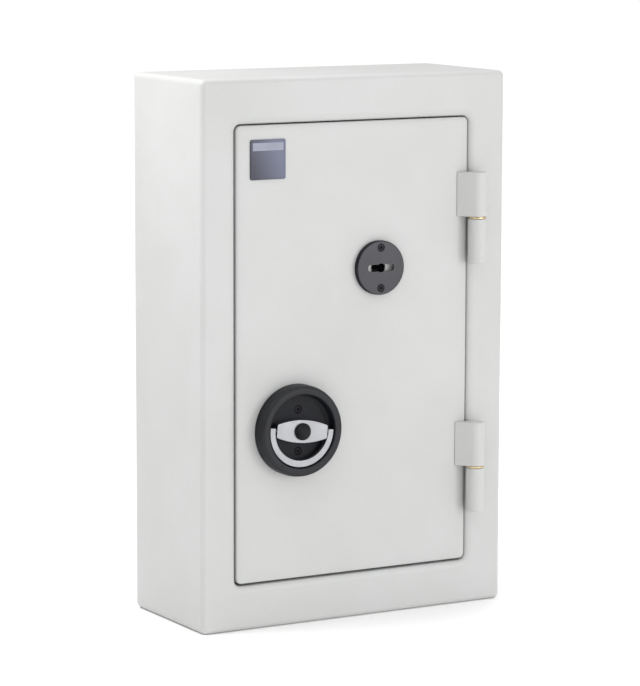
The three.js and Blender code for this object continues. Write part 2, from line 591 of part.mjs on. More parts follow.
// bar with curved long sides and square ends whose corners are eased
function hubShape() {
  const half = HUB.halfLength;
  const end = HUB.endHalfHeight;
  const eased = half - HUB.corner;
  const rise = HUB.halfHeight - HUB.endHalfHeight;
  const radius = (eased * eased + rise * rise) / (2 * rise);
  const sweep = Math.asin(eased / radius);
  const centreDrop = HUB.halfHeight - radius;
  const shape = new THREE.Shape();
  shape.moveTo(HANDLE.x + half, HANDLE.z - end + HUB.corner);
  shape.lineTo(HANDLE.x + half, HANDLE.z + end - HUB.corner);
  shape.quadraticCurveTo(HANDLE.x + half, HANDLE.z + end, HANDLE.x + eased, HANDLE.z + end);
  shape.absarc(HANDLE.x, HANDLE.z + centreDrop, radius, Math.PI / 2 - sweep,
    Math.PI / 2 + sweep, false);
  shape.quadraticCurveTo(HANDLE.x - half, HANDLE.z + end, HANDLE.x - half,
    HANDLE.z + end - HUB.corner);
  shape.lineTo(HANDLE.x - half, HANDLE.z - end + HUB.corner);
  shape.quadraticCurveTo(HANDLE.x - half, HANDLE.z - end, HANDLE.x - eased, HANDLE.z - end);
  shape.absarc(HANDLE.x, HANDLE.z - centreDrop, radius, 1.5 * Math.PI - sweep,
    1.5 * Math.PI + sweep, false);
  shape.quadraticCurveTo(HANDLE.x + half, HANDLE.z - end, HANDLE.x + half,
    HANDLE.z - end + HUB.corner);
  return shape;
}

const alongX = (radius, from, to) =>
  new THREE.CylinderGeometry(radius, radius, to - from, COARSE)
    .rotateZ(Math.PI / 2)
    .translate((from + to) / 2, at(BAIL.axisDepth), HANDLE.z);

function buildHub() {
  const block = plate(hubShape(), HUB.front, HUB.back, 8);
  const socket = rod(HANDLE.spindle + GAP, HUB.socket, HUB.back + 1, HANDLE.x, HANDLE.z);
  const pinHoles = [-1, 1].map((side) => {
    const ends = [HUB.pinHole, HUB.halfLength + 1].map((reach) => HANDLE.x + side * reach);
    return alongX(BAIL.pin + GAP, Math.min(...ends), Math.max(...ends));
  });
  add("handle_hub", settled(cut(block, socket, ...pinHoles)), SATIN_SILVER);

  const seat = HUB.front - GAP;
  add("hub_cap", turned([[0, seat], [CAP.radius, seat], [CAP.radius, seat - CAP.height + 0.8],
    [CAP.radius - 0.8, seat - CAP.height], [0, seat - CAP.height - 0.3]],
  HANDLE.x, HANDLE.z), BLACK_PLASTIC);
  add("handle_spindle", rod(HANDLE.spindle, HUB.socket + GAP, CAM.boreRear, HANDLE.x, HANDLE.z),
    ZINC);
  add("spindle_clip", ring(HANDLE.spindle + GAP, BUSH.radius, BUSH.rear + GAP, CAM.clipRear,
    HANDLE.x, HANDLE.z), HARD_STEEL);

  const disc = rod(CAM.radius, CAM.front, CAM.rear, HANDLE.x, HANDLE.z, FINE);
  const bore = rod(HANDLE.spindle + GAP, CAM.front - 1, CAM.boreRear + GAP, HANDLE.x, HANDLE.z);
  const crankPin = rod(CRANK.pin, CAM.rear - 1, BOLT.depth + CARRIAGE.thick / 2 + 1.5,
    HANDLE.x + CRANK.side, HANDLE.z - CRANK.side);
  add("spindle_cam", joined(cut(disc, bore), crankPin), ZINC);
}

function buildBail() {
  const { outer, innerX, innerZ, top, thick, axisDepth } = BAIL;
  const shape = new THREE.Shape();
  shape.moveTo(HANDLE.x - outer, HANDLE.z + top);
  shape.lineTo(HANDLE.x - outer, HANDLE.z);
  shape.absarc(HANDLE.x, HANDLE.z, outer, Math.PI, 2 * Math.PI, false);
  shape.lineTo(HANDLE.x + outer, HANDLE.z + top);
  shape.lineTo(HANDLE.x + innerX, HANDLE.z + top);
  shape.lineTo(HANDLE.x + innerX, HANDLE.z);
  shape.absellipse(HANDLE.x, HANDLE.z, innerX, innerZ, 2 * Math.PI, Math.PI, true, 0);
  shape.lineTo(HANDLE.x - innerX, HANDLE.z + top);
  shape.closePath();
  const half = plate(shape, axisDepth - thick / 2, axisDepth + thick / 2, 18);
  const holes = [-1, 1].map((side) => {
    const ends = [innerX - 1, outer + 1].map((reach) => HANDLE.x + side * reach);
    return alongX(BAIL.pin + GAP, Math.min(...ends), Math.max(...ends));
  });
  add("bail", settled(cut(half, ...holes)), SATIN_SILVER);
  for (const [place, side] of [["left", -1], ["right", 1]]) {
    const ends = [HUB.pinHole + GAP, outer - 0.5].map((reach) => HANDLE.x + side * reach);
    add(`bail_pin_${place}`, settled(alongX(BAIL.pin, Math.min(...ends), Math.max(...ends))), ZINC);
  }
}

// ---- assembly --------------------------------------------------------------------------------
buildShell();
buildBackPanel();
buildStrike();
for (const [place, bottom] of Object.entries(HINGE.bottoms)) buildHinge(place, bottom);
buildUprights();
for (let number = 0; number < HOOKS.rails; number += 1) buildHookRail(number);

buildDoorPanel();
buildBadge();
buildEscutcheon();
buildDish();
buildSpindleBush();
buildHardPlate();
buildLockCase();
buildRotor();
buildLockBolt();
buildCarriage();
BOLT.zs.forEach((z, i) => {
  buildBolt(i + 1, z);
  buildDog(i + 1, z);
});
STUD.zs.forEach((z, i) => buildStud(i + 1, z));
buildCover();
buildHub();
buildBail();

export default safe;
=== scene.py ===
# Wall safe, visual model. Sizes are written in millimetres, in the same frame as the CAD part,
# and turned into metres where a mesh is made.
import json
import math

import bmesh
import bpy
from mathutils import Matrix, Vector


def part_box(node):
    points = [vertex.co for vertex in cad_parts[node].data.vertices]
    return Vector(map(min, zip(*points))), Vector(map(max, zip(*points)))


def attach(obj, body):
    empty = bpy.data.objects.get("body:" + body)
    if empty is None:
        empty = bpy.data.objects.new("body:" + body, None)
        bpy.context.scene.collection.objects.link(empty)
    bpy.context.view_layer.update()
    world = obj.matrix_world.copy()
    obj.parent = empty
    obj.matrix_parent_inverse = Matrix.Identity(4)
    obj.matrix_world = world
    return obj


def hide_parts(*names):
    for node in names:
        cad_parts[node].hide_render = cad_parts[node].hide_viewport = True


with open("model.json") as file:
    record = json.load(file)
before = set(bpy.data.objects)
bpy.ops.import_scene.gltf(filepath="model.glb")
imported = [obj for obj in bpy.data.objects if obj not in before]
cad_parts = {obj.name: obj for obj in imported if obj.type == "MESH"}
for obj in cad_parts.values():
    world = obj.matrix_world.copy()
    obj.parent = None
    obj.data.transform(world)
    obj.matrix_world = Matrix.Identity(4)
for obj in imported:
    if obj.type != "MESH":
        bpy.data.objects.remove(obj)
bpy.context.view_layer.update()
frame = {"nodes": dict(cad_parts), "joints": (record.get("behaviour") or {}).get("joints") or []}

MM = 0.001
FINE = 96  # sides of a large round piece
ROUND = 64  # sides of a middling one
SMALL = 40  # sides of a small round piece


# ---- places and sizes taken from the frame -----------------------------------------------------
def limits(node):
    """Lowest and highest corner of a CAD node, in millimetres."""
    low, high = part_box(node)
    return low / MM, high / MM


def centre(node):
    low, high = limits(node)
    return (low + high) / 2


BODY_LOW, BODY_HIGH = limits("body_shell")
DOOR_LOW, DOOR_HIGH = limits("door_panel")
FRONT = BODY_LOW.y
BODY_DEPTH = BODY_HIGH.y - BODY_LOW.y

BODY = dict(edge=5.0, corner=6.0, wall=3.0, rear_edge=1.5)
GAP, GAP_TOP, GAP_BOTTOM = 1.7, 1.2, 2.5  # between the door and the opening
OPENING_CORNER = 7.0
ROLL_WIDTH, ROLL_DEPTH = 8.0, 5.0
FLANGE_THICK, FLANGE_DEPTH = 3.0, 25.5
DOOR = dict(edge=3.6, shoulder=13.0, corner=5.5, plate=6.0, wall=3.0, lip=23.0)
SHOULDER_TURN = 0.5  # below 1 the door's shoulder starts flat and drops late

HANDLE = centre("handle_dish")
KEY = centre("escutcheon")


# ---- mesh helpers ------------------------------------------------------------------------------
def at(depth):
    """Y of a point that lies this far behind the front face."""
    return FRONT + depth


def loft(rings, closed=False):
    """Vertices and faces of a skin through rings of equal length, capped unless closed."""
    count = len(rings[0])
    verts = [point for ring in rings for point in ring]
    spans = len(rings) if closed else len(rings) - 1
    faces = []
    for k in range(spans):
        a, b = k * count, ((k + 1) % len(rings)) * count
        for i in range(count):
            j = (i + 1) % count
            faces.append((a + i, a + j, b + j, b + i))
    if not closed:
        faces.append(tuple(reversed(range(count))))
        faces.append(tuple(range((len(rings) - 1) * count, len(rings) * count)))
    return verts, faces


def rounded_ring(sides, corner, y, steps=8):
    """Rounded rectangle (left, right, bottom, top) as points at one depth."""
    left, right, bottom, top = sides
    corner = max(corner, 0.3)
    centres = (
        (right - corner, top - corner), (left + corner, top - corner),
        (left + corner, bottom + corner), (right - corner, bottom + corner),
    )
    points = []
    for quarter, (cx, cz) in enumerate(centres):
        for i in range(steps + 1):
            angle = (quarter + i / steps) * math.pi / 2
            points.append((cx + corner * math.cos(angle), y, cz + corner * math.sin(angle)))
    return points


def shrunk(sides, inset):
    left, right, bottom, top = sides
    return left + inset, right - inset, bottom + inset, top - inset


def slab_rings(sides, corner, sections, steps=8):
    """Rings of a rounded rectangle carried through (depth, inset) sections."""
    return [rounded_ring(shrunk(sides, inset), corner - inset, at(depth), steps)
            for depth, inset in sections]


def quarter_round(depth, inset, radius, start, end, steps=6):
    """Sections (depth, inset) of a round edge about a centre, between two angles in degrees."""
    sections = []
    for i in range(steps + 1):
        angle = math.radians(start + (end - start) * i / steps)
        sections.append((depth + radius * math.sin(angle), inset + radius * math.cos(angle)))
    return sections


def turn_rings(profile, sides, place):
    """Rings of a turned piece; profile of (radius, along), place(radius*cos, radius*sin, along)."""
    return [[place(r * math.cos(2 * math.pi * i / sides), r * math.sin(2 * math.pi * i / sides), h)
             for i in range(sides)] for r, h in profile]


def facing_front(x, z):
    """Placer for pieces turned about a front-to-back axis, measured by depth."""
    return lambda a, b, depth: (x + a, at(depth), z + b)


def upright(x, y):
    return lambda a, b, height: (x + a, y + b, height)


def along_x(y, z):
    return lambda a, b, length: (length, y + a, z + b)


def make(name, skin, body, look, nodes, bevel=0.0, segments=3, sharp=35.0):
    """Mesh piece with soft shading that rides on a body and stands for CAD nodes."""
    verts, faces = skin
    mesh = bpy.data.meshes.new(name)
    mesh.from_pydata([[c * MM for c in v] for v in verts], [], faces)
    work = bmesh.new()
    work.from_mesh(mesh)
    bmesh.ops.remove_doubles(work, verts=work.verts, dist=1e-7)
    bmesh.ops.recalc_face_normals(work, faces=work.faces)
    work.to_mesh(mesh)
    work.free()
    piece = bpy.data.objects.new(name, mesh)
    bpy.context.collection.objects.link(piece)
    return dress(piece, body, look, nodes, bevel, segments, sharp)


def dress(piece, body, look, nodes, bevel=0.0, segments=3, sharp=35.0):
    """Bevels, smooth shading, material, body and the CAD nodes that the piece stands for."""
    mesh = piece.data
    mesh.materials.clear()
    mesh.materials.append(look)
    if bevel:
        cut = piece.modifiers.new("edges", "BEVEL")
        cut.width = bevel * MM
        cut.segments = segments
        cut.limit_method = "ANGLE"
        cut.angle_limit = math.radians(sharp)
    mesh.shade_smooth()
    if not bevel:
        mesh.set_sharp_from_angle(angle=math.radians(sharp))
    weigh = piece.modifiers.new("normals", "WEIGHTED_NORMAL")
    weigh.keep_sharp = True
    weigh.weight = 90
    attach(piece, body)
    if nodes:
        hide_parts(*nodes)
    return piece


def carve(piece, *skins, join=False):
    """Cuts closed skins out of a piece, or joins them to it, and keeps the result as its mesh."""
    for skin in skins:
        verts, faces = skin
        mesh = bpy.data.meshes.new("cutter")
        mesh.from_pydata([[c * MM for c in v] for v in verts], [], faces)
        work = bmesh.new()
        work.from_mesh(mesh)
        bmesh.ops.recalc_face_normals(work, faces=work.faces)
        work.to_mesh(mesh)
        work.free()
        cutter = bpy.data.objects.new("cutter", mesh)
        bpy.context.collection.objects.link(cutter)
        step = piece.modifiers.new("carve", "BOOLEAN")
        step.object = cutter
        step.operation = "UNION" if join else "DIFFERENCE"
        step.solver = "EXACT"
        while piece.modifiers[0] != step:
            with bpy.context.temp_override(object=piece, active_object=piece):
                bpy.ops.object.modifier_move_up(modifier="carve")
        hidden = [m for m in piece.modifiers if m != step]
        for modifier in hidden:
            modifier.show_viewport = False
        shape = bpy.data.meshes.new_from_object(
            piece.evaluated_get(bpy.context.evaluated_depsgraph_get()))
        for modifier in hidden:
            modifier.show_viewport = True
        piece.modifiers.remove(step)
        old = piece.data
        piece.data = shape
        bpy.data.meshes.remove(old)
        bpy.data.objects.remove(cutter)
    piece.data.set_sharp_from_angle(angle=math.radians(35))
    return piece


def refined(node, body, look, bevel, segments=2):
    """Finely edged copy of a flat-sided CAD node."""
    piece = bpy.data.objects.new(node + "_fine", frame["nodes"][node].data.copy())
    bpy.context.collection.objects.link(piece)
    work = bmesh.new()
    work.from_mesh(piece.data)
    bmesh.ops.remove_doubles(work, verts=work.verts, dist=1e-6)
    bmesh.ops.dissolve_limit(work, angle_limit=math.radians(1), verts=work.verts,
                             edges=work.edges)
    work.to_mesh(piece.data)
    work.free()
    return dress(piece, body, look, [node], bevel, segments)


def prism(outline, levels, place):
    """Outline of (a, b) points carried along levels; place(a, b, level) gives the point."""
    return loft([[place(a, b, level) for a, b in outline] for level in levels])


def seen_from_front(a, b, depth):
    return a, at(depth), b


def seen_from_above(a, b, height):
    return a, b, height


def box_skin(x_range, depths, z_range):
    (x0, x1), (z0, z1) = x_range, z_range
    return prism([(x0, z0), (x1, z0), (x1, z1), (x0, z1)], depths, seen_from_front)


def rod_skin(radius, depths, x, z, sides=SMALL):
    return loft(turn_rings([(radius, depth) for depth in depths], sides, facing_front(x, z)))


def arc(x, y, radius, start, end, steps=24, flatten=1.0):
    """Points of an arc between two angles in degrees; flatten scales its height."""
    angles = [math.radians(start + (end - start) * i / steps) for i in range(steps + 1)]
    return [(x + radius * math.cos(t), y + radius * flatten * math.sin(t)) for t in angles]


def softened(corners, steps=6, closed=False):
    """Path through corners (a, b, radius) with every corner rounded to its radius."""
    path = []
    for i, (a, b, radius) in enumerate(corners):
        if not radius or (not closed and i in (0, len(corners) - 1)):
            path.append((a, b))
            continue
        here = Vector((a, b))
        before = (Vector(corners[i - 1][:2]) - here).normalized()
        after = (Vector(corners[(i + 1) % len(corners)][:2]) - here).normalized()
        half = before.angle(after) / 2
        middle = here + (before + after).normalized() * (radius / math.sin(half))
        start = here + before * (radius / math.tan(half)) - middle
        end = here + after * (radius / math.tan(half)) - middle
        sweep = math.pi - 2 * half
        for k in range(steps + 1):
            t = k / steps
            arm = (start * math.sin((1 - t) * sweep) + end * math.sin(t * sweep)) / math.sin(sweep)
            path.append(tuple(middle + arm))
    return path


# ---- looks -------------------------------------------------------------------------------------
def tone(red, green, blue):
    """Linear colour of a display colour given from 0 to 255."""
    return tuple((c / 255 / 12.92 if c <= 10 else ((c / 255 + 0.055) / 1.055) ** 2.4)
                 for c in (red, green, blue)) + (1.0,)


def new_look(name, slot, metallic):
    look = bpy.data.materials.new(name)
    look["slot"] = slot
    look.use_nodes = True
    shader = look.node_tree.nodes["Principled BSDF"]
    shader.inputs["Metallic"].default_value = metallic
    return look, look.node_tree, shader


def noise(tree, scale, detail=3.0, stretch=(1, 1, 1)):
    """Noise that is fixed to the object, with its scale in cells for each metre."""
    place = tree.nodes.new("ShaderNodeTexCoord")
    mapping = tree.nodes.new("ShaderNodeMapping")
    mapping.inputs["Scale"].default_value = stretch
    texture = tree.nodes.new("ShaderNodeTexNoise")
    texture.inputs["Scale"].default_value = scale
    texture.inputs["Detail"].default_value = detail
    tree.links.new(place.outputs["Object"], mapping.inputs["Vector"])
    tree.links.new(mapping.outputs["Vector"], texture.inputs["Vector"])
    return texture.outputs["Fac"]


def between(tree, factor, dark, light, low=0.3, high=0.7):
    """Colour that goes from dark to light as the factor goes from low to high."""
    ramp = tree.nodes.new("ShaderNodeValToRGB")
    ramp.color_ramp.elements[0].position = low
    ramp.color_ramp.elements[0].color = dark
    ramp.color_ramp.elements[1].position = high
    ramp.color_ramp.elements[1].color = light
    tree.links.new(factor, ramp.inputs["Fac"])
    return ramp.outputs["Color"]


def ranged(tree, factor, start, end, low=0.3, high=0.7):
    """Value that goes from start to end as the factor goes from low to high."""
    span = tree.nodes.new("ShaderNodeMapRange")
    for name, value in (("From Min", low), ("From Max", high), ("To Min", start), ("To Max", end)):
        span.inputs[name].default_value = value
    tree.links.new(factor, span.inputs["Value"])
    return span.outputs["Result"]


def relief(tree, shader, *layers):
    """Bump made of layers of (factor, height in millimetres)."""
    normal = None
    for factor, height in layers:
        bump = tree.nodes.new("ShaderNodeBump")
        bump.inputs["Distance"].default_value = height * MM
        tree.links.new(factor, bump.inputs["Height"])
        if normal:
            tree.links.new(normal, bump.inputs["Normal"])
        normal = bump.outputs["Normal"]
    tree.links.new(normal, shader.inputs["Normal"])


def powder_coat():
    """Light grey powder coat: orange peel, fine grain and a slightly uneven film."""
    look, tree, shader = new_look("powder_coat", "paint", 0.0)
    cloud = noise(tree, 9.0, 4.0)
    grain = noise(tree, 900.0, 2.0)
    peel = noise(tree, 260.0, 2.0)
    film = between(tree, cloud, tone(*PAINT_DARK), tone(*PAINT_LIGHT))
    speck = tree.nodes.new("ShaderNodeMix")
    speck.data_type = "RGBA"
    speck.blend_type = "MULTIPLY"
    speck.inputs["Factor"].default_value = 1.0
    tree.links.new(film, speck.inputs["A"])
    tree.links.new(between(tree, grain, (0.965, 0.965, 0.965, 1), (1, 1, 1, 1)), speck.inputs["B"])
    tree.links.new(speck.outputs["Result"], shader.inputs["Base Color"])
    tree.links.new(ranged(tree, peel, 0.38, 0.47), shader.inputs["Roughness"])
    shader.inputs["IOR"].default_value = 1.45
    relief(tree, shader, (peel, 0.05), (grain, 0.015))
    return look


def facing(tree):
    """How squarely a surface faces front or back in its own object, from 0 to 1; the mask for painted
    shade on the sides.
    """
    place = tree.nodes.new("ShaderNodeTexCoord")
    split = tree.nodes.new("ShaderNodeSeparateXYZ")
    size = tree.nodes.new("ShaderNodeMath")
    size.operation = "ABSOLUTE"
    tree.links.new(place.outputs["Normal"], split.inputs["Vector"])
    tree.links.new(split.outputs["Y"], size.inputs[0])
    return size.outputs["Value"]


def moulded(name, slot, dark, light, roughness, grain_scale, height, sheen=0.3, shaded_side_sheen=0.3):
    """Moulded or coated dark surface with a fine grain; its edges may shine less than its face, which
    paints shade on the sides.
    """
    look, tree, shader = new_look(name, slot, 0.0)
    # Sides that face away from front and back get less shine: painted shade on the sides.
    tree.links.new(ranged(tree, facing(tree), shaded_side_sheen, sheen, 0.5, 0.95),
                   shader.inputs["Specular IOR Level"])
    cloud = noise(tree, 45.0, 4.0)
    grain = noise(tree, grain_scale, 3.0)
    tree.links.new(between(tree, cloud, tone(*dark), tone(*light)), shader.inputs["Base Color"])
    tree.links.new(ranged(tree, grain, roughness - 0.05, roughness + 0.07),
                   shader.inputs["Roughness"])
    relief(tree, shader, (grain, height))
    return look


def recess_painted_shade(look, rim, floor, rim_sheen, floor_shade_sheen):
    """Painted shade in a recess: lets a look shine less towards the floor of a recess; rim and floor
    are Y in millimetres.
    """
    tree = look.node_tree
    place = tree.nodes.new("ShaderNodeTexCoord")
    split = tree.nodes.new("ShaderNodeSeparateXYZ")
    tree.links.new(place.outputs["Object"], split.inputs["Vector"])
    sheen = ranged(tree, split.outputs["Y"], rim_sheen, floor_shade_sheen, rim * MM, floor * MM)
    tree.links.new(sheen, tree.nodes["Principled BSDF"].inputs["Specular IOR Level"])
    return look


def metal(name, slot, dark, light, roughness, brushing=(1, 1, 1), height=0.01):
    """Bare or plated metal, brushed along the axis with the smallest stretch."""
    look, tree, shader = new_look(name, slot, 1.0)
    lines = noise(tree, 700.0, 3.0, brushing)
    cloud = noise(tree, 60.0, 3.0)
    tree.links.new(between(tree, cloud, tone(*dark), tone(*light)), shader.inputs["Base Color"])
    tree.links.new(ranged(tree, lines, roughness - 0.07, roughness + 0.07),
                   shader.inputs["Roughness"])
    relief(tree, shader, (lines, height))
    return look


def badge_film():
    """Dark slate film that grows lighter towards its right side."""
    look, tree, shader = new_look("badge_film", "badge", 0.0)
    place = tree.nodes.new("ShaderNodeTexCoord")
    slant = tree.nodes.new("ShaderNodeMapping")
    slant.inputs["Rotation"].default_value = (0, math.radians(BADGE_SLANT), 0)
    blend = tree.nodes.new("ShaderNodeTexGradient")
    tree.links.new(place.outputs["Generated"], slant.inputs["Vector"])
    tree.links.new(slant.outputs["Vector"], blend.inputs["Vector"])
    tree.links.new(between(tree, blend.outputs["Fac"], tone(22, 25, 48), tone(92, 96, 120),
                           0.15, 0.95), shader.inputs["Base Color"])
    grain = noise(tree, 1500.0, 2.0)
    tree.links.new(ranged(tree, grain, 0.3, 0.4), shader.inputs["Roughness"])
    relief(tree, shader, (grain, 0.004))
    return look


PAINT_DARK, PAINT_LIGHT = (194, 195, 193), (199, 200, 199)
BADGE_SLANT = 20  # degrees that the badge's shading leans
PAINT = powder_coat()
# The dish shines less towards its recess floor: painted shade in the recess.
DISH_PLASTIC = recess_painted_shade(
    moulded("dish_plastic", "black_plastic", (19, 20, 25), (25, 26, 32), 0.45, 1400, 0.02),
    rim=FRONT - 14, floor=FRONT - 5, rim_sheen=0.36, floor_shade_sheen=0.18)
CAP_PLASTIC = moulded("cap_plastic", "black_plastic", (10, 11, 12), (44, 45, 47), 0.6, 700, 0.15,
                      sheen=0.12, shaded_side_sheen=0.12)
# The key plate's sides barely shine while its face does: painted shade on its sides.
PLATE_COAT = moulded("plate_coat", "dark_plate", (37, 36, 43), (44, 43, 51), 0.42, 1200, 0.015,
                     sheen=0.6, shaded_side_sheen=0.03)
SATIN = metal("satin_silver", "satin_silver", (154, 155, 158), (164, 165, 168), 0.36, (1, 1, 0.06))
SCREW_BLACK = moulded("screw_black", "dark_plate", (26, 26, 30), (32, 32, 37), 0.5, 1200, 0.01)
BRASS = metal("brass", "brass", (212, 190, 146), (224, 204, 164), 0.27)
ZINC = metal("zinc", "zinc", (170, 172, 176), (192, 194, 198), 0.36, (0.2, 1, 1))
DARK_STEEL = metal("dark_steel", "hard_steel", (74, 76, 80), (92, 94, 98), 0.42)
BADGE = badge_film()
BADGE_INK = moulded("badge_ink", "badge", (142, 144, 160), (154, 156, 172), 0.4, 1500, 0.004)


# ---- fixed body --------------------------------------------------------------------------------
BODY_SIDES = (BODY_LOW.x, BODY_HIGH.x, BODY_LOW.z, BODY_HIGH.z)
DOOR_SIDES = (DOOR_LOW.x, DOOR_HIGH.x, DOOR_LOW.z, DOOR_HIGH.z)
OPENING_SIDES = (DOOR_LOW.x - GAP, DOOR_HIGH.x + GAP, DOOR_LOW.z - GAP_BOTTOM,
                 DOOR_HIGH.z + GAP_TOP)
HINGE_X, HINGE_Y, _ = (value / MM for value in frame["joints"][0]["pos_m"])
HINGE_RADIUS, HINGE_PIN, HINGE_BORE = 9.4, 5.0, 5.3
LEAF_EDGE = 0.8  # thickness of a hinge leaf at its free edge
CLEARANCE = 0.3  # between pieces that touch or run in each other


def make_shell():
    """Wrapped steel body: soft front edges, and an opening whose edge rolls in to a flange."""
    edge, wall, rear_edge = BODY["edge"], BODY["wall"], BODY["rear_edge"]
    outside = quarter_round(BODY_DEPTH - rear_edge, rear_edge, rear_edge, 90, 180, 3)
    outside += quarter_round(edge, edge, edge, 180, 270, 8)
    turns = [math.radians(90 * i / 10) for i in range(11)]
    mouth = [(ROLL_DEPTH * (1 - math.cos(t)), ROLL_WIDTH * (math.sin(t) - 1)) for t in turns]
    mouth += [(FLANGE_DEPTH, 0), (FLANGE_DEPTH, -FLANGE_THICK), (wall, -FLANGE_THICK)]
    rings = slab_rings(BODY_SIDES, BODY["corner"], outside)
    rings += slab_rings(OPENING_SIDES, OPENING_CORNER, mouth)
    rings += slab_rings(BODY_SIDES, BODY["corner"], [(wall, wall), (BODY_DEPTH, wall)])
    make("shell_fine", loft(rings, closed=True), "body", PAINT, ["body_shell"], 0.5, 2)


def make_back():
    low, high = limits("back_panel")
    depths = (low.y - FRONT, high.y - FRONT)
    sides = (low.x, high.x, low.z, high.z)
    panel = make("back_panel_fine", loft(slab_rings(sides, 2.7, [(d, 0) for d in depths])), "body",
                 PAINT, ["back_panel"], 0.4, 2)
    opened = (depths[0] - 1, depths[1] + 1)
    holes = [rod_skin(WALL_HOLE["radius"], opened, side * WALL_HOLE["x"], z)
             for z in WALL_HOLE["z"] for side in (-1, 1)]
    carve(panel, *holes)


WALL_HOLE = dict(radius=6.5, x=80.0, z=(72.0, 482.0))


def make_hinge(place):
    """Frame knuckle with its foot, brass washer, pin, and door knuckle with its sloping leaf."""
    low, high = limits(f"hinge_frame_knuckle_{place}")
    back = HINGE_Y + HINGE_RADIUS
    outline = arc(HINGE_X, HINGE_Y, HINGE_RADIUS, 90, 360, 72)
    outline += [(HINGE_X + HINGE_RADIUS, back)]
    knuckle = make(f"frame_knuckle_{place}_fine", prism(outline, (low.z, high.z), seen_from_above),
                   "body", PAINT, [f"hinge_frame_knuckle_{place}"], 0.7, 4)
    bore = loft(turn_rings([(HINGE_BORE, low.z - 1), (HINGE_BORE, high.z + 1)], SMALL,
                           upright(HINGE_X, HINGE_Y)))
    carve(knuckle, bore)

    low, high = limits(f"hinge_washer_{place}")
    rim = (high.x - low.x) / 2
    profile = softened([(HINGE_BORE, low.z, 0.3), (rim, low.z, 0.5), (rim, high.z, 0.5),
                        (HINGE_BORE, high.z, 0.3)], 3, closed=True)
    make(f"washer_{place}_fine", loft(turn_rings(profile, FINE, upright(HINGE_X, HINGE_Y)), True),
         "body", BRASS, [f"hinge_washer_{place}"])

    low, high = limits(f"hinge_pin_{place}")
    profile = softened([(0.01, low.z, 0), (HINGE_PIN, low.z, 0.6), (HINGE_PIN, high.z - 2, 1),
                        (HINGE_PIN - 2, high.z, 0.8), (0.01, high.z, 0)], 3)
    make(f"hinge_pin_{place}_fine", loft(turn_rings(profile, SMALL, upright(HINGE_X, HINGE_Y))),
         "body", ZINC, [f"hinge_pin_{place}"])

    low, high = limits(f"hinge_door_knuckle_{place}")
    toe = Vector((low.x - HINGE_X, back - LEAF_EDGE - HINGE_Y))
    touch = math.degrees(math.atan2(toe.y, toe.x) + math.acos(HINGE_RADIUS / toe.length))
    outline = [(low.x, back), (low.x, HINGE_Y + toe.y)]
    outline += arc(HINGE_X, HINGE_Y, HINGE_RADIUS, touch, 450, 48)
    knuckle = make(f"door_knuckle_{place}_fine", prism(outline, (low.z, high.z), seen_from_above),
                   "door", PAINT, [f"hinge_door_knuckle_{place}"], 0.6, 4)
    carve(knuckle, loft(turn_rings([(HINGE_BORE, low.z - 1), (HINGE_BORE, high.z - 4)], SMALL,
                                   upright(HINGE_X, HINGE_Y))))


def make_hook_rail(number):
    """Flat strip across the uprights with a row of round wire hooks turned up at their ends."""
    name = f"hook_rail_{number}"
    low, high = limits(name)
    strip = (high.y - HOOK["sheet"] - FRONT, high.y - FRONT)
    middle = high.z - HOOK["strip"] / 2
    sides = (low.x, high.x, middle - HOOK["strip"] / 2, high.z)
    rail = make(name + "_fine", loft(slab_rings(sides, 2.0, [(d, 0) for d in strip])), "body",
                ZINC, [name], 0.3, 2)
    radius = HOOK["wire"] / 2
    tip = middle + HOOK["tip"]
    reach = low.y + radius
    bend = HOOK["wire"] * 1.2
    for i in range(HOOK["count"]):
        x = (i - (HOOK["count"] - 1) / 2) * HOOK["pitch"]
        path = softened([(at(strip[0]) + 0.4, middle, 0), (reach, middle, bend),
                         (reach, tip, 0)], 8)
        hook = make(f"{name}_wire_{i + 1}", wire_skin(path, x, radius), "body", ZINC, [])
        hook.parent = rail
    return rail


HOOK = dict(sheet=1.5, strip=16.0, wire=2.6, tip=6.0, count=8, pitch=28.0)


def wire_skin(path, x, radius, sides=16):
    """Round wire along a path of (y, z) points at one X, domed at its free end."""
    rings = []
    for i, (y, z) in enumerate(path):
        ahead = Vector(path[min(i + 1, len(path) - 1)]) - Vector(path[max(i - 1, 0)])
        ahead.normalize()
        across = Vector((-ahead.y, ahead.x))
        rings.append([(x + radius * math.cos(t), y + radius * math.sin(t) * across.x,
                       z + radius * math.sin(t) * across.y)
                      for t in (2 * math.pi * k / sides for k in range(sides))])
    return loft(rings)


# ---- door --------------------------------------------------------------------------------------
def make_door():
    """Flush door plate with soft front edges, folded sides and a lip at the rear."""
    edge, shoulder = DOOR["edge"], DOOR["shoulder"]
    plate, wall, lip = DOOR["plate"], DOOR["wall"], DOOR["lip"]
    rear = DOOR_HIGH.y - FRONT
    turns = [math.radians(90 * i / 16) for i in range(17)]
    sections = [(edge * (1 - math.cos(t) ** SHOULDER_TURN), shoulder * (1 - math.sin(t)))
                for t in turns]
    sections += [(rear, 0), (rear, lip), (rear - wall, lip), (rear - wall, wall), (plate, wall)]
    door = make("door_fine", loft(slab_rings(DOOR_SIDES, DOOR["corner"], sections)), "door", PAINT,
                ["door_panel"], 0.4, 2)
    through = (-1, plate + 1)
    carve(door, rod_skin(KEY_HOLE, through, KEY.x, KEY.z),
          rod_skin(SPINDLE_HOLE, through, HANDLE.x, HANDLE.z))


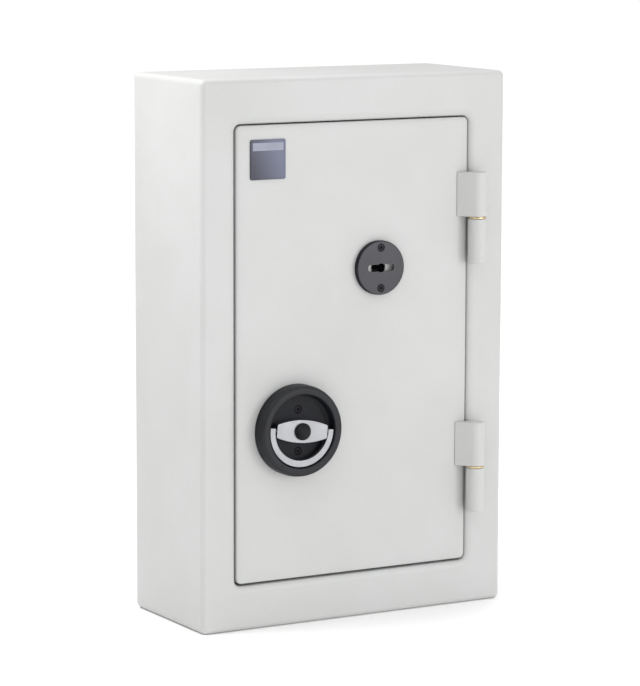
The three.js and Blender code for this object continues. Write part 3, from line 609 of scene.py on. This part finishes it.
def make_badge():
    """Plain square plate with a raised rim and one plain bar near its top."""
    low, high = limits("badge")
    sides = (low.x, high.x, low.z, high.z)
    front, back = low.y - FRONT, high.y - FRONT
    sections = [(back, 0), (front + 0.25, 0), (front, 0.25), (front, 0.9), (front + 0.2, 1.1)]
    make("badge_fine", loft(slab_rings(sides, 2.0, sections)), "door", BADGE, ["badge"])
    bar = (low.x + BADGE_BAR["side"], high.x - BADGE_BAR["side"], high.z - BADGE_BAR["bottom"],
           high.z - BADGE_BAR["top"])
    sections = [(back - 0.2, 0), (front + 0.1, 0), (front, 0.1)]
    make("badge_bar", loft(slab_rings(bar, 0.6, sections, 4)), "door", BADGE_INK, [])


BADGE_BAR = dict(side=2.5, top=3.2, bottom=11.0)  # distances from the edges of the badge


def keyhole_outline(half_width, half_height, bulge, corner):
    """Double-bit keyhole: a round-cornered wing to each side of a round middle."""
    meet = math.degrees(math.asin(half_height / bulge))
    right = KEY.x + half_width
    left = KEY.x - half_width
    outline = arc(right - corner, KEY.z - half_height + corner, corner, 270, 360, 6)
    outline += arc(right - corner, KEY.z + half_height - corner, corner, 0, 90, 6)
    outline += arc(KEY.x, KEY.z, bulge, meet, 180 - meet, 10)
    outline += arc(left + corner, KEY.z + half_height - corner, corner, 90, 180, 6)
    outline += arc(left + corner, KEY.z - half_height + corner, corner, 180, 270, 6)
    outline += arc(KEY.x, KEY.z, bulge, 180 + meet, 360 - meet, 10)
    return outline


def countersink(x, z, face):
    """Cutter for the seat of a countersunk screw."""
    profile = [(0.01, face - 1), (4.3, face - 1), (4.3, face + 0.25), (2.3, face + 2.2),
               (2.3, face + 5), (0.01, face + 5)]
    return loft(turn_rings(profile, SMALL, facing_front(x, z)))


def make_escutcheon():
    """Round key plate, hollow behind its double-bit keyhole, with two screws, and a dark sleeve in
    the door's key hole that is painted shade.
    """
    low, high = limits("escutcheon")
    radius = (high.x - low.x) / 2
    face, back = low.y - FRONT, high.y - FRONT
    profile = softened([(0.01, face, 0), (radius, face, 1.4), (radius, back, 0.2),
                        (0.01, back, 0)], 8)
    plate = make("escutcheon_fine", loft(turn_rings(profile, FINE, facing_front(KEY.x, KEY.z))),
                 "door", PLATE_COAT, ["escutcheon"], 0.25, 2)
    screws = {place: centre(f"escutcheon_screw_{place}") for place in ("top", "bottom")}
    slot = prism(keyhole_outline(**KEY_SLOT), (face - 1, back + 1), seen_from_front)
    width, height = KEY_HOLLOW["half_width"], KEY_HOLLOW["half_height"]
    hollow = box_skin((KEY.x - width, KEY.x + width), (face + KEY_HOLLOW["sheet"], back + 1),
                      (KEY.z - height, KEY.z + height))
    carve(plate, slot, hollow, *(countersink(spot.x, spot.z, face) for spot in screws.values()))
    for place in screws:
        make_screw(f"escutcheon_screw_{place}", "door", SCREW_BLACK)
    # Dark sleeve lining the door's key hole: painted shade where the hole looks dark.
    front, rear = back + 0.1, back + DOOR["plate"] - 0.1
    inner, outer = KEY_HOLE - 0.7, KEY_HOLE - 0.1
    shade_liner = [(inner, front), (outer, front), (outer, rear), (inner, rear)]
    make("keyway_shade_liner", loft(turn_rings(shade_liner, ROUND, facing_front(KEY.x, KEY.z)), closed=True),
         "door", SCREW_BLACK, [])


KEY_SLOT = dict(half_width=15.0, half_height=3.5, bulge=4.5, corner=2.6)
KEY_HOLLOW = dict(half_width=22.0, half_height=9.0, sheet=1.2)  # space behind the key plate's face


def make_screw(node, body, look, rear_facing=False):
    """Machine screw with a soft head and a six-sided socket, in the place of a CAD screw."""
    low, high = limits(node)
    x, z = (low.x + high.x) / 2, (low.z + high.z) / 2
    head, tip = (high.y, low.y) if rear_facing else (low.y, high.y)
    inward = -1 if rear_facing else 1
    radius, shank = SCREW["head"], SCREW["shank"]
    socket, deep = SCREW["socket"], SCREW["deep"]

    def ring(size, depth, hexagonal=False):
        points = []
        for i in range(SCREW["sides"]):
            angle = 2 * math.pi * i / SCREW["sides"]
            flat = math.cos(math.pi / 6) / math.cos(angle % (math.pi / 3) - math.pi / 6)
            reach = size * flat if hexagonal else size
            points.append((x + reach * math.cos(angle), head + inward * depth,
                           z + reach * math.sin(angle)))
        return points

    length = abs(tip - head)
    if rear_facing:
        sides = [ring(3.2, 0.0), ring(3.8, 0.35), ring(radius, 0.9), ring(radius, 2.0),
                 ring(shank, 2.0)]
    else:
        sides = [ring(2.9, 0.1), ring(3.2, 0.3), ring(3.6, 0.75), ring(shank, 2.2)]
    rings = [ring(socket, deep, True), ring(socket, 0.25, True), ring(socket + 0.35, 0.0)]
    rings += sides + [ring(shank, length - 0.4), ring(shank - 0.4, length)]
    return make(node + "_fine", loft(rings), body, look, [node])


SCREW = dict(head=4.0, shank=2.0, socket=1.6, deep=1.9, sides=48)


def make_dish():
    """Deep round dish of the handle: flat rim, steep wall, soft inner corner, two screws."""
    low, high = limits("handle_dish")
    outer = (high.x - low.x) / 2
    rim, back = low.y - FRONT, high.y - FRONT
    recess, floor, hole = DISH["recess"], -DISH["floor"], DISH["hole"]
    corners = [(hole, back, 0.1), (outer, back, 0.1), (outer, rim + 6, 4), (outer - 1.2, rim, 3.4),
               (recess + 0.3, rim, 1.6), (recess - 0.4, floor, 3.5), (hole, floor, 0.3)]
    dish = make("dish_fine",
                loft(turn_rings(softened(corners, 8, True), FINE, facing_front(HANDLE.x, HANDLE.z)),
                     closed=True), "door", DISH_PLASTIC, ["handle_dish"])
    screws = {place: centre(f"dish_screw_{place}") for place in ("upper", "lower")}
    carve(dish, *(countersink(spot.x, spot.z, floor) for spot in screws.values()))
    for place in screws:
        make_screw(f"dish_screw_{place}", "door", DISH_PLASTIC)


def make_cover():
    """Shallow pressed cover over the boltwork, with screw tabs and slots for the bolts."""
    low, high = limits("inner_cover")
    front, rear = low.y - FRONT, high.y - FRONT
    sides = (low.x, high.x, low.z + COVER["tab"], high.z - COVER["tab"])
    sheet = COVER["sheet"]
    sections = quarter_round(rear - 4, 4, 4 - sheet, 90, 180, 5)
    sections += [(front, sheet), (front, 0)]
    sections += quarter_round(rear - 4, 4, 4, 180, 90, 6)
    cover = make("cover_fine", loft(slab_rings(sides, COVER["corner"], sections)), "door", PAINT,
                 ["inner_cover"], 0.3, 2)
    tab_sides = (low.x + 12, high.x - 12)
    tabs = [box_skin(tab_sides, (front, front + sheet), heights)
            for heights in ((low.z, sides[2] + 1), (sides[3] - 1, high.z))]
    carve(cover, *tabs, join=True)
    slots = [box_skin((low.x - 1, low.x + sheet + 1), (front - 1, 42),
                      (centre(f"bolt_{i}").z - 8, centre(f"bolt_{i}").z + 8)) for i in (1, 2, 3)]
    carve(cover, *slots)
    for i in range(1, 7):
        make_screw(f"cover_screw_{i}", "door", ZINC, rear_facing=True)


COVER = dict(tab=26.0, sheet=2.0, corner=6.0)


# ---- boltwork and lock -------------------------------------------------------------------------
def make_bolts():
    """Round bolts with chamfered tips, their guides, and the fixed dogs of the hinge side."""
    for i in (1, 2, 3):
        low, high = limits(f"bolt_{i}")
        radius = (high.z - low.z) / 2
        y, z = (low.y + high.y) / 2, (low.z + high.z) / 2
        profile = softened([(0.01, low.x, 0), (radius - 1.5, low.x, 0.5),
                            (radius, low.x + 1.5, 0.8), (radius, high.x, 0.3),
                            (0.01, high.x, 0)], 4)
        make(f"bolt_{i}_fine", loft(turn_rings(profile, ROUND, along_x(y, z))), "boltwork", SATIN,
             [f"bolt_{i}"])

        low, high = limits(f"bolt_guide_{i}")
        block = box_skin((low.x, high.x), (low.y - FRONT, high.y - FRONT), (low.z, high.z))
        guide = make(f"guide_{i}_fine", block, "door", ZINC, [f"bolt_guide_{i}"], 0.8, 3)
        bore = [(radius + CLEARANCE, low.x - 1), (radius + CLEARANCE, high.x + 1)]
        carve(guide, loft(turn_rings(bore, ROUND, along_x(y, z))))
        refined(f"fixed_dog_{i}", "door", ZINC, 1.0, 3)


def make_hidden_works():
    """What the cover hides: carriage, studs, cam, lock and hard plate."""
    refined("bolt_carriage", "boltwork", ZINC, 0.5)
    refined("strike_plate", "body", PAINT, 0.5)
    for number in (1, 2):
        refined(f"guide_stud_{number}", "door", ZINC, 0.4)
        make_screw(f"lock_screw_{number}", "door", DARK_STEEL, rear_facing=True)
    refined("hard_plate", "door", DARK_STEEL, 0.5)
    refined("lock_case", "door", DARK_STEEL, 0.4)
    refined("lock_cap", "door", ZINC, 0.4)
    refined("lock_rotor", "lock_rotor", DARK_STEEL, 0.3)
    refined("lock_bolt", "lock_bolt", BRASS, 0.6)
    refined("spindle_bush", "door", BRASS, 0.3)
    refined("spindle_cam", "handle", ZINC, 0.5)
    refined("spindle_clip", "handle", DARK_STEEL, 0.3)
    refined("handle_spindle", "handle", ZINC, 0.4)
    for side in ("left", "right"):
        refined(f"bail_pin_{side}", "handle", ZINC, 0.3)
        refined(f"rail_upright_{side}", "body", PAINT, 0.5)


# ---- handle ------------------------------------------------------------------------------------
def settled(outline):
    """Outline about the handle's axis, turned to where the handle stands at rest."""
    turn = math.radians(HANDLE_TURN)
    return [(HANDLE.x + a * math.cos(turn) + b * math.sin(turn),
             HANDLE.z - a * math.sin(turn) + b * math.cos(turn)) for a, b in outline]


def make_hub():
    """Bar with curved long sides and square ends, and a round textured cap."""
    half, tall, end, corner = HUB["half"], HUB["tall"], HUB["end"], HUB["corner"]
    eased, rise = half - corner, tall - end
    radius = (eased * eased + rise * rise) / (2 * rise)
    sweep = math.degrees(math.asin(eased / radius))
    outline = arc(eased, end - corner, corner, 0, 88, 6)
    outline += arc(0, tall - radius, radius, 90 - sweep, 90 + sweep, 32)
    outline += arc(-eased, end - corner, corner, 92, 180, 6)
    outline += [(-a, -b) for a, b in outline]
    low, high = limits("handle_hub")
    make("hub_fine", prism(settled(outline), (low.y - FRONT, high.y - FRONT), seen_from_front),
         "handle", SATIN, ["handle_hub"], 0.9, 4)

    low, high = limits("hub_cap")
    radius, front, back = (high.x - low.x) / 2, low.y - FRONT, high.y - FRONT
    profile = softened([(0.01, back, 0), (radius, back, 0.2), (radius, front + 0.3, 0.8),
                        (radius * 0.8, front, 0.5), (0.01, front + 0.15, 0)], 5)
    make("hub_cap_fine", loft(turn_rings(profile, ROUND, facing_front(HANDLE.x, HANDLE.z))), "handle",
         CAP_PLASTIC, ["hub_cap"])


def make_bail():
    """Flat half ring that folds out of the dish on two pins in the ends of the hub."""
    outer, inner, top = BAIL["outer"], BAIL["inner_x"], BAIL["top"]
    outline = [(-outer, top)] + arc(0, 0, outer, 180, 360, 72)
    outline += [(outer, top), (inner, top)]
    outline += arc(0, 0, inner, 360, 180, 72, BAIL["inner_z"] / inner)
    outline += [(-inner, top)]
    low, high = limits("bail")
    make("bail_fine", prism(settled(outline), (low.y - FRONT, high.y - FRONT), seen_from_front),
         "bail", SATIN, ["bail"], 0.9, 4)


HANDLE_TURN = 5.3  # degrees past level, clockwise
HUB = dict(half=28.8, tall=11.5, end=7.2, corner=2.2)
BAIL = dict(outer=36.3, inner_x=29.9, inner_z=29.2, top=2.8)


# ---- assembly ----------------------------------------------------------------------------------
KEY_HOLE, SPINDLE_HOLE = 8.25, 10.3
DISH = dict(recess=37.0, floor=5.5, hole=7.0)

make_shell()
make_back()
for place in ("lower", "upper"):
    make_hinge(place)
for number in (1, 2, 3, 4):
    make_hook_rail(number)
make_door()
make_badge()
make_escutcheon()
make_dish()
make_cover()
make_bolts()
make_hidden_works()
make_hub()
make_bail()


# ---- floor, light and camera -------------------------------------------------------------------
def make_floor():
    """Plain pale floor under the safe."""
    look, tree, shader = new_look("floor", "", 0.0)
    tree.links.new(between(tree, noise(tree, 3.0), (0.96, 0.96, 0.96, 1), (0.98, 0.98, 0.98, 1)),
                   shader.inputs["Base Color"])
    shader.inputs["Roughness"].default_value = 0.9
    mesh = bpy.data.meshes.new("floor")
    size = 30.0  # metres from the middle to each side
    mesh.from_pydata([(-size, -size, 0), (size, -size, 0), (size, size, 0), (-size, size, 0)], [],
                     [(0, 1, 2, 3)])
    mesh.materials.append(look)
    floor = bpy.data.objects.new("floor", mesh)
    bpy.context.collection.objects.link(floor)


def make_light(name, place, aim, size, power):
    """Round soft lamp; place, aim and size in metres, power in watts."""
    light = bpy.data.lights.new(name, "AREA")
    light.shape = "DISK"
    light.size = size
    light.energy = power
    lamp = bpy.data.objects.new(name, light)
    bpy.context.collection.objects.link(lamp)
    lamp.location = place
    lamp.rotation_euler = (Vector(aim) - Vector(place)).to_track_quat("-Z", "Y").to_euler()


def make_studio():
    """Soft sky that grows brighter overhead, and four soft lamps."""
    world = bpy.data.worlds.new("studio")
    world.use_nodes = True
    tree = world.node_tree
    place = tree.nodes.new("ShaderNodeTexCoord")
    split = tree.nodes.new("ShaderNodeSeparateXYZ")
    tree.links.new(place.outputs["Generated"], split.inputs["Vector"])
    sky = tree.nodes["Background"]
    sky.inputs["Color"].default_value = (1, 1, 1, 1)
    tree.links.new(ranged(tree, split.outputs["Z"], SKY_HORIZON, SKY_ZENITH, 0.0, 1.0),
                   sky.inputs["Strength"])
    bpy.context.scene.world = world
    bpy.context.scene.view_settings.view_transform = "Standard"
    make_light("key", (1.5, -2.6, 0.6), (0, 0, 0.3), 0.8, 14.3)
    make_light("side", (-0.6, 0.1, 0.95), (-0.175, 0, 0.5), 0.3, 3.3)
    make_light("rear", (1.5, 1.0, 0.75), (0.35, 0, 0), 0.8, 4.5)
    make_light("fill", (0.3, -3.0, 0.3), (0, 0, 0.2), 1.5, 11.7)


SKY_HORIZON, SKY_ZENITH = 0.27, 1.5


def make_camera():
    """Long lens, slightly above the middle, to the left of the door."""
    camera = bpy.data.cameras.new("camera")
    camera.sensor_width = 36.0
    camera.lens = 168.81
    eye = bpy.data.objects.new("camera", camera)
    bpy.context.collection.objects.link(eye)
    eye.location = (-1.6269, -2.8266, 0.7440)
    eye.rotation_euler = [math.radians(a) for a in (81.762, -0.155, -29.900)]
    bpy.context.scene.camera = eye


make_floor()
make_studio()
make_camera()
